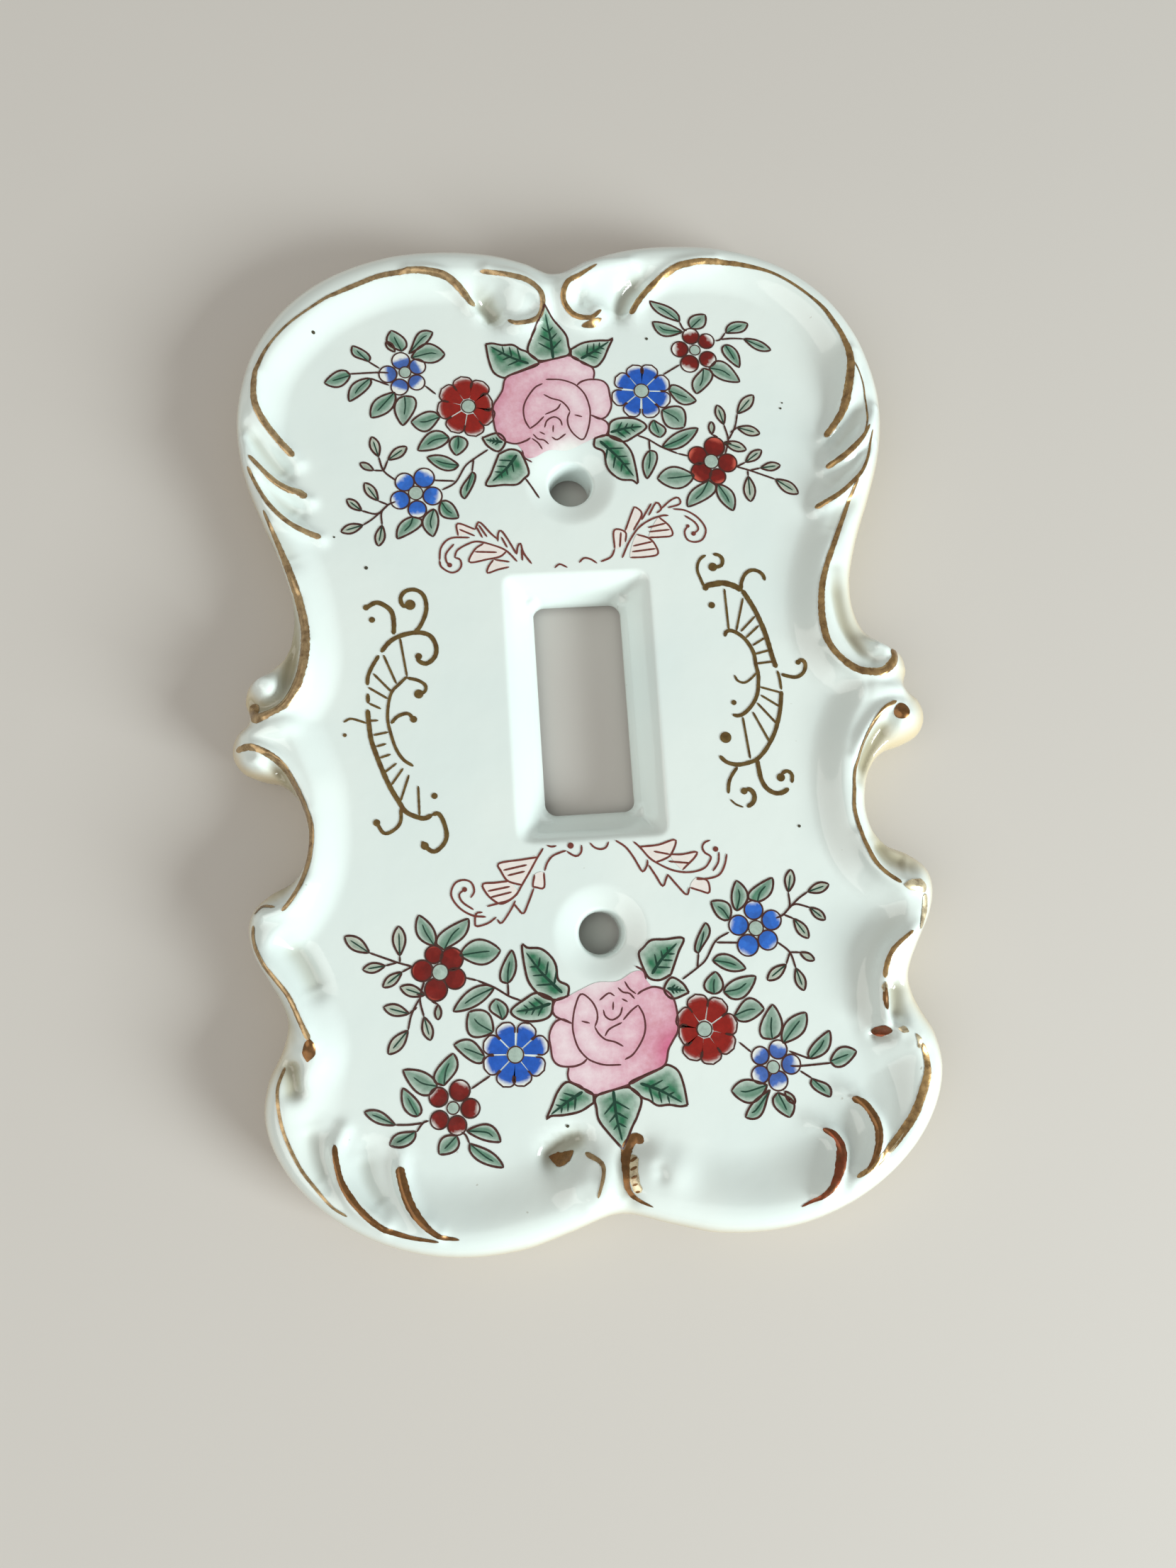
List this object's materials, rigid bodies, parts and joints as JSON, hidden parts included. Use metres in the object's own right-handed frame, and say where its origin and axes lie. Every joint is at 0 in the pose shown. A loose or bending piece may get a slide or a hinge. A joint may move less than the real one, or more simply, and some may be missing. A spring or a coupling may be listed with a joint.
{
  "type": "toggle switch wall plate cover",
  "caption": "Porcelain wall plate cover with a scroll-edged raised rim, a dished front, a funnelled toggle opening and a line of screw holes above and below it.",
  "frame": {"origin": "midway between the two screw holes, on the plane of the foot rim that rests on the wall", "axes": "+Z out of the wall towards the viewer, +Y up along the line of the screw holes, +X to the viewer's right"},
  "size_m": [0.0918, 0.1334, 0.0095],
  "materials": {
    "white_glaze": "gloss",
    "gilding": "satin",
    "painted_enamel": "gloss"
  },
  "bodies": {
    "root": {"cover_plate": "white_glaze"}
  },
  "joints": []
}
